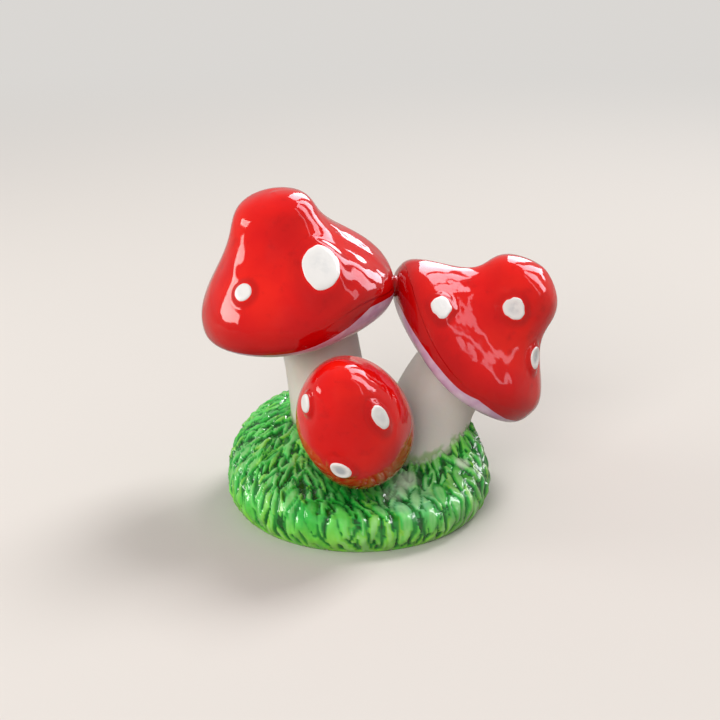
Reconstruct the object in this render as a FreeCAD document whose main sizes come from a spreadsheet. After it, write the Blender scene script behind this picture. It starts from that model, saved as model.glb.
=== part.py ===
# Glazed ornament of three red toadstools growing out of a mound of grass.
# The mound, stalks and caps are hollow slip castings, luted together and fired as one.
# Lengths are millimetres and angles degrees. The origin is the middle of the foot on the
# table, +Z is up, -Y is the front and the leaning toadstool leans towards +X.
import FreeCAD, Part
import math
import os
from FreeCAD import Placement, Rotation, Vector

# Sizes that can each be set by themselves
SIZES = {
    "casting_wall": 3.5,
    "lute_gap": 0.3,
    "glaze_gap": 0.2,
    "socket_depth": 1.6,
    "socket_lip": 1.2,
    "vent_width": 8.0,
    "dab_thickness": 0.9,
    "mound_half_width": 40.0,
    "mound_half_depth": 40.0,
    "mound_height": 27.2,
    "mound_girth_height": 6.7,
    "mound_foot_tuck": 3.1,
    "mound_crest_left": 3.6,
    "mound_crest_back": 16.5,
    "mound_right_bank": 4.6,
    "mound_front_dip": 10.2,
    "mound_tuft_relief": 0.45,
    "foot_ring_width": 5.0,
    "foot_recess": 1.0,
    "tall_cap_x": -18.5,
    "tall_cap_y": 4.0,
    "tall_cap_z": 62.4,
    "tall_cap_radius": 29.0,
    "tall_cap_height": 34.7,
    "tall_cap_underside": 7.1,
    "tall_cap_crown_shift": 1.6,
    "tall_stalk_foot_x": -7.2,
    "tall_stalk_foot_y": 5.5,
    "tall_stalk_foot_z": 9.0,
    "tall_stalk_foot_run": 12.0,
    "tall_stalk_foot_radius": 14.6,
    "tall_stalk_top_radius": 11.8,
    "tall_stalk_top_run": 20.0,
    "tall_socket_offset": 4.4,
    "leaning_cap_radius": 29.7,
    "leaning_cap_height": 32.9,
    "leaning_cap_underside": 8.8,
    "leaning_cap_crown_shift": -1.2,
    "leaning_stalk_foot_x": 18.8,
    "leaning_stalk_foot_y": 2.0,
    "leaning_stalk_foot_z": 7.0,
    "leaning_stalk_foot_run": 12.0,
    "leaning_stalk_foot_radius": 15.5,
    "leaning_stalk_top_radius": 12.6,
    "leaning_stalk_top_run": 14.0,
    "leaning_socket_offset": 4.0,
    "front_cap_x": -1.6,
    "front_cap_y": -25.5,
    "front_cap_z": 36.7,
    "front_cap_radius": 16.1,
    "front_cap_height": 25.0,
    "front_cap_underside": 17.4,
    "front_stalk_foot_x": 3.5,
    "front_stalk_foot_y": -7.0,
    "front_stalk_foot_z": 7.0,
    "front_stalk_foot_run": 5.0,
    "front_stalk_foot_radius": 9.0,
    "front_stalk_top_radius": 7.5,
    "front_stalk_top_run": 6.0,
    "front_socket_offset": 0.0,
    "rim_lute_radius": 4.0,
    "rim_lute_reach": 3.0,
}

# Tilt of each cap to the right and to the back, and the direction in which the two large
# caps touch: its turn from +X and its rise
ANGLES = {
    "tall_cap": (-9.0, -6.5),
    "leaning_cap": (42.2, 0.3),
    "front_cap": (-15.8, -43.0),
    "touch": (6.6, -7.9),
}

# Form of each cap, as shares of its sizes: the waist between crown and brim, how far down it
# lies and how narrow it is, how much deeper it is on one side and towards which side, how
# pointed the crown is and how square the rim is
CAP_FORM_SHARES = {
    "tall_cap": {"waist": 0.336, "waist_drop": 1.09, "waist_power": 2.0, "one_side": 0.059,
                 "side_angle": -15, "crown_power": 1.0, "squareness": 3.0},
    "leaning_cap": {"waist": 0.346, "waist_drop": 1.31, "waist_power": 3.0, "one_side": -0.04,
                    "side_angle": 0, "crown_power": 1.25, "squareness": 3.0},
    "front_cap": {"waist": 0.114, "waist_drop": 1.0, "waist_power": 2.0, "one_side": 0.0,
                  "side_angle": 0, "crown_power": 1.0, "squareness": 2.67},
}

# Lobes of each brim: middle angle, width angle, then reach and lift as shares of the radius
LOBE_SHARES = {
    "tall_cap": [(46, 36, 0.08, 0.1), (-45, 30, -0.03, 0.158), (180, 40, 0.0, -0.041)],
    "leaning_cap": [(191, 35, 0.055, 0.195), (-90, 40, -0.074, -0.155)],
    "front_cap": [(0, 45, 0.0, -0.193), (90, 45, 0.025, 0.186), (-90, 45, 0.24, 0.082)],
}

# White dabs of each cap: angle down from the apex, angle round it, then length and width
# as shares of the cap's radius, and the turn of the long axis
DAB_SHARES = {
    "tall_cap": [
        (68, 237, 0.19, 0.18, 0), (66, 302, 0.47, 0.39, 97), (38, 100, 0.22, 0.18, 0),
        (70, 62, 0.26, 0.22, 60), (68, 122, 0.28, 0.24, 20),
    ],
    "leaning_cap": [
        (76, 226, 0.23, 0.21, 0), (46, 266, 0.23, 0.22, 0), (62, 324, 0.25, 0.24, 0),
        (62, 32, 0.26, 0.22, 40), (68, 92, 0.30, 0.26, 0), (52, 130, 0.20, 0.18, 0),
    ],
    "front_cap": [
        (53, 316, 0.51, 0.29, 97), (40, 187, 0.33, 0.28, 69), (76, 253, 0.38, 0.33, 29),
        (92, 95, 0.32, 0.28, 0),
    ],
}
NOTCH_SHARE = 0.12

# Where the rings of a loft lie: angles down a cap and a dome, fewer for the hidden hollows,
# and the reach and lift of a dab's rings as shares of its edge and thickness
CAP_RING_ANGLES = [7, 17, 27, 37, 47, 57, 66, 74, 82, 90, 96, 103, 113, 130, 152, 180]
DOME_RING_ANGLES = [10, 20, 30, 40, 50, 60, 70, 80, 90]
CAP_HOLLOW_ANGLES = [20, 45, 68, 90, 105, 180]
DOME_HOLLOW_ANGLES = [15, 40, 65, 90]
DAB_RING_SHARES = [(0.62, 1.0), (0.9, 0.6), (1.0, 0.0), (0.66, 0.0), (0.33, 0.0)]
STALK_RING_SHARES = [0.0, 0.25, 0.5, 0.75, 1.0]
CAP_FACET_COUNT = 40
MOUND_FACET_COUNT = 72
HOLLOW_FACET_COUNT = 20
STALK_FACET_COUNT = 36
VENT_FACET_COUNT = 12
DAB_FACET_COUNT = 12

# Form of the mound: how square its dome is, where its bank and dip lie and how wide they
# are, and its grass tufts, which stand in staggered rows down the slope
MOUND_FORM_SHARES = {"squareness": 2.58, "crest_power": 2.0}
RIGHT_BANK_ANGLES = (0, 45)
FRONT_DIP_ANGLES = (-70, 50)
TUFT_COUNT = 36
TUFT_ROW_ANGLE = 10.0

# Facets that lie this close share their edges
SEAM = 0.001

doc = FreeCAD.newDocument("toadstool_ornament")
sheet = doc.addObject("Spreadsheet::Sheet", "sizes")
for row, (name, value) in enumerate(SIZES.items(), start=1):
    sheet.set(f"A{row}", name)
    sheet.set(f"B{row}", str(value))
    sheet.setAlias(f"B{row}", name)
doc.recompute()


def size(name):
    """The value of one named size in the sheet."""
    return float(sheet.get(name))


def swell(turn, middle, width):
    """A soft bump round the rim, 1 at its middle angle."""
    off = math.degrees(math.remainder(math.radians(turn - middle), math.tau))
    return math.exp(-((off / width) ** 2))


def seat_radius(cap):
    """The radius of the flat round a cap's socket."""
    return size(cap.replace("_cap", "_stalk_top_radius")) + size("lute_gap") + size("socket_lip")


def cap_point(cap, down, turn, grow=0.0):
    """A point of a cap in its own frame, or of the same form larger by grow."""
    form = CAP_FORM_SHARES[cap]
    radius = size(cap + "_radius")
    sine = math.sin(math.radians(down))
    waist = form["waist"] + form["one_side"] * math.cos(math.radians(turn - form["side_angle"]))
    drop = form["waist_drop"]
    power = form["crown_power"]
    neck = math.sin(0.5 * math.pi * 0.5 ** (1.0 / drop)) ** power
    waist = 1.0 - (radius * neck * (1.0 - waist) + grow) / ((radius + grow) * neck)
    if down <= 90.0:
        pinch = max(math.sin(math.pi * (down / 90.0) ** drop), 0.0) ** form["waist_power"]
        out = (radius + grow) * sine ** power * (1.0 - waist * pinch)
        rise = (size(cap + "_height") + grow) * max(math.cos(math.radians(down)), 0.0) ** power
        brim = sine ** 4
        middle_x = 0.0
    else:
        power = form["squareness"]
        seat = seat_radius(cap) + grow
        out = seat + (radius + grow - seat) * sine
        rise = -(size(cap + "_underside") + grow) * (1.0 - sine ** power) ** (1.0 / power)
        brim = sine ** 3
        middle_x = size(cap.replace("_cap", "_socket_offset")) * (1.0 - sine)
    for middle, width, reach_share, lift_share in LOBE_SHARES[cap]:
        bump = swell(turn, middle, width) * brim
        out += reach_share * radius * bump
        rise += lift_share * radius * bump
    x = middle_x + out * math.cos(math.radians(turn))
    if cap + "_crown_shift" in SIZES and rise > 0.0:
        x -= size(cap + "_crown_shift") * (rise / size(cap + "_height")) ** 2
    return Vector(x, out * math.sin(math.radians(turn)), rise)


def tuft_share(turn, row):
    """The staggered grass tufts: 1 on the top of a tuft, -1 in the hollows between them."""
    return math.cos(math.radians(TUFT_COUNT * turn)) * math.cos(math.pi * row)


def mound_point(down, turn, grow=0.0, relief=0.0):
    """A point of the mound's dome, which ends at the girth 90 degrees down."""
    power = 2.0 / MOUND_FORM_SHARES["squareness"]
    sine = math.sin(math.radians(down)) ** power
    rise_share = max(math.cos(math.radians(down)), 0.0) ** power
    grow += relief * tuft_share(turn, down / TUFT_ROW_ANGLE) * sine ** 2
    crest_share = rise_share ** MOUND_FORM_SHARES["crest_power"]
    x = (size("mound_half_width") + grow) * sine * math.cos(math.radians(turn))
    y = (size("mound_half_depth") + grow) * sine * math.sin(math.radians(turn))
    dome = size("mound_height") + grow - size("mound_girth_height")
    slope = math.sin(math.radians(2.0 * down)) ** 2
    bank = size("mound_right_bank") * swell(turn, *RIGHT_BANK_ANGLES)
    dip = size("mound_front_dip") * swell(turn, *FRONT_DIP_ANGLES)
    z = size("mound_girth_height") + dome * rise_share + (bank - dip) * slope
    return Vector(x - size("mound_crest_left") * crest_share,
                  y + size("mound_crest_back") * crest_share, z)


def mound_wall_point(height, turn, grow=0.0, relief=0.0):
    """A point of the mound's wall below the girth, which tucks in towards the foot."""
    drop = 1.0 - height / size("mound_girth_height")
    tuck = size("mound_foot_tuck") * drop ** 2
    row = 90.0 / TUFT_ROW_ANGLE + 2.0 * drop
    grow += relief * tuft_share(turn, row) * (1.0 - drop)
    return Vector((size("mound_half_width") + grow - tuck) * math.cos(math.radians(turn)),
                  (size("mound_half_depth") + grow - tuck) * math.sin(math.radians(turn)), height)


def ring(point_at, count):
    """The points that point_at gives for each turn, once round."""
    return [point_at(360.0 * step / count) for step in range(count)]


def skin(apex, rings):
    """A closed solid of small flat facets from an apex down to a last ring that lies flat."""
    count = len(rings[0])
    points = [apex] + [point for one in rings for point in one]
    facets = [(0, 1 + step, 1 + (step + 1) % count) for step in range(count)]
    for level in range(len(rings) - 1):
        for step in range(count):
            upper = 1 + level * count + step
            upper_next = 1 + level * count + (step + 1) % count
            lower, lower_next = upper + count, upper_next + count
            facets.append((upper, lower, lower_next))
            facets.append((upper, lower_next, upper_next))
    last = 1 + (len(rings) - 1) * count
    facets += [(last, last + step + 1, last + step) for step in range(1, count - 1)]
    shell = Part.Shape()
    shell.makeShapeFromMesh((points, facets), SEAM)
    solid = Part.makeSolid(shell)
    if solid.Volume < 0:
        solid.reverse()
    return solid.removeSplitter()


def feature(name, shape, placement=None):
    """A sub-part or tool whose shape is worked out here."""
    item = doc.addObject("Part::Feature", name)
    item.Shape = shape
    if placement is not None:
        item.Placement = placement
    return item


def cap_skin(cap, grow=0.0, angles=CAP_RING_ANGLES, count=CAP_FACET_COUNT):
    """The closed form of a cap, in its own frame."""
    rings = [ring(lambda turn: cap_point(cap, down, turn, grow), count) for down in angles]
    return skin(cap_point(cap, 0.0, 0.0, grow), rings)


def mound_skin(grow, relief, floor=0.0, angles=DOME_RING_ANGLES, count=MOUND_FACET_COUNT):
    """The closed form of the mound, flat at the height of its floor."""
    middle = 0.5 * (size("mound_girth_height") + floor)
    rings = [ring(lambda turn: mound_point(down, turn, grow, relief), count) for down in angles]
    rings += [ring(lambda turn: mound_wall_point(height, turn, grow, relief), count)
              for height in (middle, floor)]
    return skin(mound_point(0.0, 0.0, grow), rings)


def cap_axes(cap):
    """The sideways, backward and upward directions of a tilted cap."""
    right, back = [math.radians(angle) for angle in ANGLES[cap]]
    up = Vector(math.sin(right) * math.cos(back), math.sin(back), math.cos(right) * math.cos(back))
    across = Vector(math.cos(right), 0.0, -math.sin(right))
    return across, up.cross(across), up


def cap_rotation(cap):
    across, back, up = cap_axes(cap)
    return Rotation(across, back, up, "ZXY")


def farthest(cap, direction):
    """The point of a cap, turned but not placed, that lies furthest in a direction."""
    turned = cap_rotation(cap)
    points = [turned.multVec(cap_point(cap, down, turn))
              for down in range(60, 131, 2) for turn in range(0, 360, 4)]
    return max(points, key=lambda point: point.dot(direction))


# The tall and front caps are placed by their sizes. The leaning cap is placed so that its
# raised rim meets the tall cap's rim, one lute gap away.
touch_turn, touch_rise = [math.radians(angle) for angle in ANGLES["touch"]]
touch = Vector(math.cos(touch_rise) * math.cos(touch_turn),
               math.cos(touch_rise) * math.sin(touch_turn), math.sin(touch_rise))
cap_place = {}
for cap in ("tall_cap", "front_cap"):
    cap_place[cap] = Placement(Vector(size(cap + "_x"), size(cap + "_y"), size(cap + "_z")),
                               cap_rotation(cap))
tall_rim = cap_place["tall_cap"].Base + farthest("tall_cap", touch)
leaning_rim = tall_rim + touch * size("lute_gap")
cap_place["leaning_cap"] = Placement(leaning_rim - farthest("leaning_cap", touch * -1.0),
                                     cap_rotation("leaning_cap"))


def stalk_place(which, share):
    """The place at one share of a stalk's bent middle line, from its foot in the mound to the
    floor of its cap's socket. It leaves the foot upright and meets the socket squarely."""
    cap = which + "_cap"
    stalk = which + "_stalk"
    floor = size("socket_depth") - size(cap + "_underside")
    foot = Vector(*[size(f"{stalk}_foot_{axis}") for axis in "xyz"])
    top = cap_place[cap].multVec(Vector(size(which + "_socket_offset"), 0.0, floor))
    ankle = foot + Vector(0, 0, size(stalk + "_foot_run"))
    knee = top - cap_axes(cap)[2] * size(stalk + "_top_run")
    rest = 1 - share
    point = foot * rest ** 3 + ankle * 3 * share * rest ** 2 + knee * 3 * share ** 2 * rest + top * share ** 3
    along = (ankle - foot) * rest ** 2 + (knee - ankle) * 2 * share * rest + (top - knee) * share ** 2
    return Placement(point, Rotation(Vector(1, 0, 0), Vector(0, 1, 0), along, "ZXY"))


def tube(name, which, sides, radius_of):
    """A loft through many-sided sections set square to a stalk's middle line."""
    sections = []
    for number, share in enumerate(STALK_RING_SHARES):
        section = doc.addObject("Part::RegularPolygon", f"{name}_{number}")
        section.Polygon = sides
        section.setExpression("Circumradius", radius_of(share))
        section.Placement = stalk_place(which, share)
        sections.append(section)
    item = doc.addObject("Part::Loft", name)
    item.Sections = sections
    item.Solid = True
    item.Ruled = True
    return item


def cylinder(name, radius_of, height_of, placement):
    item = doc.addObject("Part::Cylinder", name)
    item.setExpression("Radius", radius_of)
    item.setExpression("Height", height_of)
    item.Placement = placement
    return item


def cut(name, base, tool):
    item = doc.addObject("Part::Cut", name)
    item.Base = base
    item.Tool = tool
    return item


def fuse(name, shapes):
    item = doc.addObject("Part::MultiFuse", name)
    item.Shapes = shapes
    return item


def make_cap(which):
    """A hollow bell with a socket for its stalk and a vent from the socket to the hollow."""
    cap = which + "_cap"
    wall = size("casting_wall")
    underside = size(cap + "_underside")
    outside = feature(cap + "_outside", cap_skin(cap))
    hollow = feature(cap + "_hollow", cap_skin(cap, -wall, CAP_HOLLOW_ANGLES, HOLLOW_FACET_COUNT))
    offset = size(which + "_socket_offset")
    socket = cylinder(cap + "_socket", f"sizes.{which}_stalk_top_radius + sizes.lute_gap",
                      "sizes.casting_wall",
                      Placement(Vector(offset, 0.0, size("socket_depth") - underside - wall), Rotation()))
    vent = cylinder(cap + "_vent", "sizes.vent_width / 2", "sizes.casting_wall",
                    Placement(Vector(offset, 0.0, size("socket_depth") - underside), Rotation()))
    tools = fuse(cap + "_openings", [hollow, socket, vent])
    item = cut(cap, outside, tools)
    item.Placement = cap_place[cap]
    return item


def flare(name, which, gap=""):
    """The outside of a stalk, which flares to its foot, or the same form larger by a gap."""
    foot = f"sizes.{which}_stalk_foot_radius"
    top = f"sizes.{which}_stalk_top_radius"
    return tube(name, which, STALK_FACET_COUNT,
                lambda share: f"{top} + ({foot} - {top}) * (1 - {share}) ^ 3{gap}")


def make_stalk(which, seat, neighbours):
    """A stalk with the vent that runs up through it. It is coped to the mound and to its
    neighbours, with the lute gap between them."""
    stalk = which + "_stalk"
    tools = [tube(stalk + "_bore", which, VENT_FACET_COUNT, lambda share: "sizes.vent_width / 2"), seat]
    for other in neighbours:
        tools.append(flare(f"{stalk}_{other}_cope", other, " + sizes.lute_gap"))
    return cut(stalk, flare(stalk + "_flare", which), fuse(stalk + "_tools", tools))


def make_mound():
    """The hollow grass mound, with its foot ring, its own vent and one under each stalk."""
    wall = size("casting_wall")
    floor = size("foot_recess") + wall
    ring_width = size("foot_ring_width")
    outside = feature("mound_outside", mound_skin(0.0, size("mound_tuft_relief")))
    hollow = feature("mound_hollow", mound_skin(-wall, 0.0, floor, DOME_HOLLOW_ANGLES, HOLLOW_FACET_COUNT))
    edge = ring(lambda turn: mound_wall_point(0.0, turn, -ring_width), HOLLOW_FACET_COUNT)
    recess_face = Part.Face(Part.makePolygon(edge + edge[:1]))
    recess = feature("mound_recess", recess_face.extrude(Vector(0, 0, size("foot_recess"))))
    vents = [cylinder("mound_vent", "sizes.vent_width / 2", "sizes.foot_recess + 2 * sizes.casting_wall",
                      Placement())]
    for which in ("tall", "leaning", "front"):
        vents.append(cylinder(f"{which}_stalk_vent", "sizes.vent_width / 2", "sizes.mound_height",
                              stalk_place(which, 0.0)))
    return cut("grass_mound", outside, fuse("mound_openings", [hollow, recess] + vents))


def dab(cap, down, turn, length_share, width_share, twist):
    """One raised dab of white glaze that follows the cap's surface."""
    radius = size(cap + "_radius")
    thickness = size("dab_thickness")
    step = 1.0
    place = cap_point(cap, down, turn)
    down_rate = (cap_point(cap, down + step, turn) - place).Length / step
    turn_rate = (cap_point(cap, down, turn + step) - place).Length / step

    def at(edge_share, lift_share, angle):
        along = 0.5 * length_share * radius * edge_share * math.cos(math.radians(angle))
        aside = 0.5 * width_share * radius * edge_share * math.sin(math.radians(angle))
        notch = 1.0 + NOTCH_SHARE * math.cos(math.radians(2.0 * angle + down)) * math.sin(math.radians(angle))
        turned = math.radians(twist)
        over = (along * math.cos(turned) - aside * math.sin(turned)) * notch
        up = (along * math.sin(turned) + aside * math.cos(turned)) * notch
        return cap_point(cap, down + up / down_rate, turn + over / turn_rate,
                         size("glaze_gap") + lift_share * thickness)

    rings = [ring(lambda angle: at(edge_share, lift_share, angle), DAB_FACET_COUNT)
             for edge_share, lift_share in DAB_RING_SHARES]
    return skin(at(0.0, 1.0, 0.0), rings)


def make_dabs(which):
    cap = which + "_cap"
    dabs = [dab(cap, *shares) for shares in DAB_SHARES[cap]]
    return feature(cap + "_dabs", Part.makeCompound(dabs), cap_place[cap])


def make_rim_lute():
    """The lump of slip that joins the two large caps where their rims meet."""
    start = tall_rim - touch * size("rim_lute_reach")
    post = doc.addObject("Part::Prism", "rim_lute_post")
    post.Polygon = DAB_FACET_COUNT
    post.setExpression("Circumradius", "sizes.rim_lute_radius")
    post.setExpression("Height", "sizes.lute_gap + 2 * sizes.rim_lute_reach")
    post.Placement = Placement(start, Rotation(Vector(0, 0, 1), touch))
    rims = [feature(cap + "_rim", cap_skin(cap, size("glaze_gap")), cap_place[cap])
            for cap in ("tall_cap", "leaning_cap")]
    return cut("rim_lute", post, fuse("rims", rims))


pieces = [make_mound()]
seat = feature("stalk_seat", mound_skin(size("lute_gap"), size("mound_tuft_relief")))
for which, neighbours in (("tall", ()), ("leaning", ("tall",)), ("front", ("tall", "leaning"))):
    pieces.append(make_stalk(which, seat, neighbours))
    pieces.append(make_cap(which))
    pieces.append(make_dabs(which))
pieces.append(make_rim_lute())
doc.recompute()

for item in doc.Objects:
    if "Invalid" in item.State or "Error" in item.State:
        raise RuntimeError(f"{item.Label} did not build: {item.State}")
os.makedirs("parts", exist_ok=True)
for piece in pieces:
    if piece.Shape.isNull() or not piece.Shape.isValid():
        raise RuntimeError(f"{piece.Label} has no valid shape")
    solids = len(piece.Shape.Solids)
    box = piece.Shape.BoundBox
    print(f"{piece.Label}: {solids} solids, {piece.Shape.Volume:.0f} mm3,",
          f"z {box.ZMin:.1f} to {box.ZMax:.1f}")
    piece.Shape.exportStep(f"parts/{piece.Label}.step")
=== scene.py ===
import math

import bpy
import numpy as np
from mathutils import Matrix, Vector


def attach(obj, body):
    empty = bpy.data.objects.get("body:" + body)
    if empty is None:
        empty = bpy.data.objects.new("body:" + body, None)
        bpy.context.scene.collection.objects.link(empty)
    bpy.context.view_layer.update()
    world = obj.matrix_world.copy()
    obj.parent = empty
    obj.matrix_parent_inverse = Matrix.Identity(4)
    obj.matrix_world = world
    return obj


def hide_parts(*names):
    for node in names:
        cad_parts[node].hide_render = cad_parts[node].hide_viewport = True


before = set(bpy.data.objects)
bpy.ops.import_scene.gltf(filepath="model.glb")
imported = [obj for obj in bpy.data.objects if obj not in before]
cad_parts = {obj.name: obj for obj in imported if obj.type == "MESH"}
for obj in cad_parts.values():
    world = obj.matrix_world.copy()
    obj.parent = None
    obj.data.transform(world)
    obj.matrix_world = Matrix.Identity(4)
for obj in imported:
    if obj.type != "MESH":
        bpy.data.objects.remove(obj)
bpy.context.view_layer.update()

# Camera
# It stands where the photograph was taken: a little above the ornament, looking down on it.
CAMERA_PLACE = (0.000310, -0.378392, 0.182696)
CAMERA_PITCH = 20.0
CAMERA_VIEW_ANGLE = 30.0

camera_data = bpy.data.cameras.new("camera")
camera_data.sensor_width = 36.0
camera_data.angle = math.radians(CAMERA_VIEW_ANGLE)
camera_data.clip_start = 0.01
camera = bpy.data.objects.new("camera", camera_data)
camera.location = CAMERA_PLACE
camera.rotation_euler = (math.radians(90.0 - CAMERA_PITCH), 0.0, 0.0)
bpy.context.scene.collection.objects.link(camera)
bpy.context.scene.camera = camera

# Caps
# Each cap is a hollow slip casting in earthenware: a bell with a drawn-out crown, a wavy rolled
# brim and small moulded nubs where the spots go. It is painted red outside; underneath it is
# coloured lilac pink, a painted shade with bounced red light. It is dipped in clear glaze and luted
# on its stalk.
MM = 0.001
CAP_PLACES = {
    "tall_cap": (-18.5, 4.0, 62.4),
    "leaning_cap": (32.87, 12.44, 46.46),
    "front_cap": (-1.6, -25.5, 36.7),
}
CAP_TILTS = {
    "tall_cap": (-9.0, -6.5),
    "leaning_cap": (42.2, 0.3),
    "front_cap": (-15.8, -43.0),
}
CAP_SIZES = {
    "tall_cap": {"radius": 29.0, "height": 34.66, "underside": 7.1, "crown_shift": 1.6,
                 "waist": 0.336, "waist_drop": 1.09, "waist_power": 2.0, "one_side": 0.059,
                 "side_angle": -15.0, "crown_power": 1.0, "squareness": 3.0, "seat": 13.3,
                 "socket_offset": 4.4},
    "leaning_cap": {"radius": 29.7, "height": 32.9, "underside": 8.8, "crown_shift": -1.2,
                    "waist": 0.346, "waist_drop": 1.31, "waist_power": 3.0, "one_side": -0.04,
                    "side_angle": 0.0, "crown_power": 1.25, "squareness": 3.0, "seat": 14.1,
                    "socket_offset": 4.0},
    "front_cap": {"radius": 16.1, "height": 25.0, "underside": 17.4, "crown_shift": 0.0,
                  "waist": 0.114, "waist_drop": 1.0, "waist_power": 2.0, "one_side": 0.0,
                  "side_angle": 0.0, "crown_power": 1.0, "squareness": 2.67, "seat": 9.0,
                  "socket_offset": 0.0},
}
# Lobes of each brim: middle angle, width angle, then reach and lift as shares of the radius
CAP_LOBES = {
    "tall_cap": [(46, 36, 0.08, 0.1), (-45, 30, -0.03, 0.158), (180, 40, -0.006, -0.041)],
    "leaning_cap": [(191, 35, 0.055, 0.195), (-90, 40, -0.074, -0.155)],
    "front_cap": [(0, 45, 0.0, -0.193), (90, 45, 0.025, 0.186), (-90, 45, 0.2395, 0.082)],
}
# Spots of each cap: angle down from the crown, angle round it, half length and half width as
# shares of the radius, turn of the long way, the outline as shares all the way round, then how
# deeply the middle is dished and how much painted shade greys it
ROUND_SHARES = (1.0, 0.97, 1.02, 0.98, 1.0, 0.96, 1.0, 1.02)
BEAN_SHARES = (1.02, 1.04, 0.95, 0.98, 1.05, 0.97, 0.92, 1.02, 1.05, 1.0, 0.93, 0.97)
LOBED_SHARES = (1.08, 0.98, 0.88, 1.0, 1.06, 0.97, 0.86, 1.0, 1.07, 0.96, 0.9, 1.02)
RAGGED_SHARES = (1.04, 1.0, 0.86, 1.02, 1.06, 0.93, 0.9, 1.05, 1.0, 0.95, 1.08, 0.97)
SPOTS = {
    "tall_cap": [
        (68, 237, 0.095, 0.09, 0, ROUND_SHARES, 0.15),
        (66, 302, 0.235, 0.195, 97, BEAN_SHARES, 0.25),
        (38, 100, 0.11, 0.09, 0, ROUND_SHARES, 0.5),
        (70, 62, 0.13, 0.11, 60, RAGGED_SHARES, 0.3),
        (68, 122, 0.14, 0.12, 20, BEAN_SHARES, 0.2),
    ],
    "leaning_cap": [
        (76, 226, 0.115, 0.108, 0, RAGGED_SHARES, 0.2),
        (46, 266, 0.115, 0.11, 20, LOBED_SHARES, 0.8),
        (62, 324, 0.085, 0.12, 0, ROUND_SHARES, 0.9),
        (62, 32, 0.13, 0.11, 40, RAGGED_SHARES, 0.3),
        (68, 92, 0.15, 0.13, 0, BEAN_SHARES, 0.2),
        (52, 130, 0.10, 0.09, 0, ROUND_SHARES, 0.6),
    ],
    "front_cap": [
        (53, 316, 0.255, 0.145, 97, BEAN_SHARES, 0.3),
        (40, 187, 0.165, 0.14, 69, ROUND_SHARES, 0.2),
        (76, 253, 0.19, 0.165, 29, ROUND_SHARES, 1.0),
        (92, 95, 0.16, 0.14, 0, RAGGED_SHARES, 0.3),
    ],
}
NUB_HEIGHT = 0.55
NUB_SLOPE_SHARE = 0.75
MOAT_DEPTH = 0.08
MOAT_WIDTH_SHARE = 0.35
# How far down the red reaches on each brim, at some turns round it
PAINT_LINES = {
    "tall_cap": [(0, 98), (60, 100), (140, 104), (200, 106), (260, 108), (290, 110), (304, 110),
                 (313, 106), (322, 99), (340, 97), (360, 98)],
    "leaning_cap": [(0, 105), (60, 104), (140, 108), (197, 122), (219, 111), (232, 103), (242, 98),
                    (252, 96), (271, 95), (285, 93), (294, 96), (304, 101), (313, 106), (360, 105)],
    "front_cap": [(0, 118), (180, 118), (360, 118)],
}
PAINT_WAVER = 1.0
PAINT_SEED_STEP = 1.7
PAINT_SEED_START = 0.6
# The side of each cap where the brush has left the glaze wrinkled
WRINKLED_SIDES = {"tall_cap": -15.0, "leaning_cap": 225.0, "front_cap": 20.0}
WRINKLED_WIDTH = 60.0
# Cuts of the cube that each cap starts as, and the angle down past which its underside is flat
CAP_CUTS = 95
FLAT_FROM_ANGLE = 168.0
FAR_FROM_SPOTS = 9.0


def cap_form(cap, down, turn):
    """Points of a cap in its own frame, in millimetres."""
    form = CAP_SIZES[cap]
    radius = form["radius"]
    sine = np.maximum(np.sin(np.radians(down)), 0.0)
    waist = form["waist"] + form["one_side"] * np.cos(np.radians(turn - form["side_angle"]))
    over = down <= 90.0
    seat = form["seat"]
    power = form["squareness"]
    round_off = form["crown_power"]
    lap = np.sin(math.pi * (np.clip(down, 0.0, 90.0) / 90.0) ** form["waist_drop"])
    pinch = 1.0 - waist * np.maximum(lap, 0.0) ** form["waist_power"]
    out = np.where(over, radius * sine ** round_off * pinch, seat + (radius - seat) * sine)
    crown = form["height"] * np.maximum(np.cos(np.radians(down)), 0.0) ** round_off
    below = -form["underside"] * np.maximum(1.0 - sine ** power, 0.0) ** (1.0 / power)
    rise = np.where(over, crown, below)
    brim = np.where(over, sine ** 4, sine ** 3)
    middle_x = np.where(over, 0.0, form["socket_offset"] * (1.0 - sine))
    for middle, width, reach_share, lift_share in CAP_LOBES[cap]:
        off = (turn - middle + 180.0) % 360.0 - 180.0
        bump = np.exp(-((off / width) ** 2)) * brim
        out = out + reach_share * radius * bump
        rise = rise + lift_share * radius * bump
    x = middle_x + out * np.cos(np.radians(turn))
    x = x - form["crown_shift"] * (np.maximum(rise, 0.0) / form["height"]) ** 2
    return np.stack([x, out * np.sin(np.radians(turn)), rise], axis=-1)


def place_on_cap(cap, points):
    """The same points turned and moved to where the cap sits, in metres."""
    right, back = [math.radians(angle) for angle in CAP_TILTS[cap]]
    up = Vector((math.sin(right) * math.cos(back), math.sin(back),
                 math.cos(right) * math.cos(back)))
    across = Vector((math.cos(right), 0.0, -math.sin(right)))
    across = (across - up * across.dot(up)).normalized()
    back_way = up.cross(across)
    turned = np.array([across, back_way, up])
    return (points @ turned + np.array(CAP_PLACES[cap])) * MM


def spot_rates(cap, down, turn):
    """Millimetres per degree down and round a cap at a spot."""
    here = cap_form(cap, np.array(down, float), np.array(turn, float))
    below = cap_form(cap, np.array(down + 1.0), np.array(turn, float))
    beside = cap_form(cap, np.array(down, float), np.array(turn + 1.0))
    return np.linalg.norm(below - here), np.linalg.norm(beside - here)


def outline_share(shares, angle):
    """The outline of a spot at an angle, drawn smoothly through its shares."""
    count = len(shares)
    where = np.mod(np.degrees(angle), 360.0) / 360.0 * count
    first = np.floor(where).astype(int)
    part = where - first
    part = part * part * (3.0 - 2.0 * part)
    values = np.array(shares)
    return values[first % count] * (1.0 - part) + values[(first + 1) % count] * part


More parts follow.
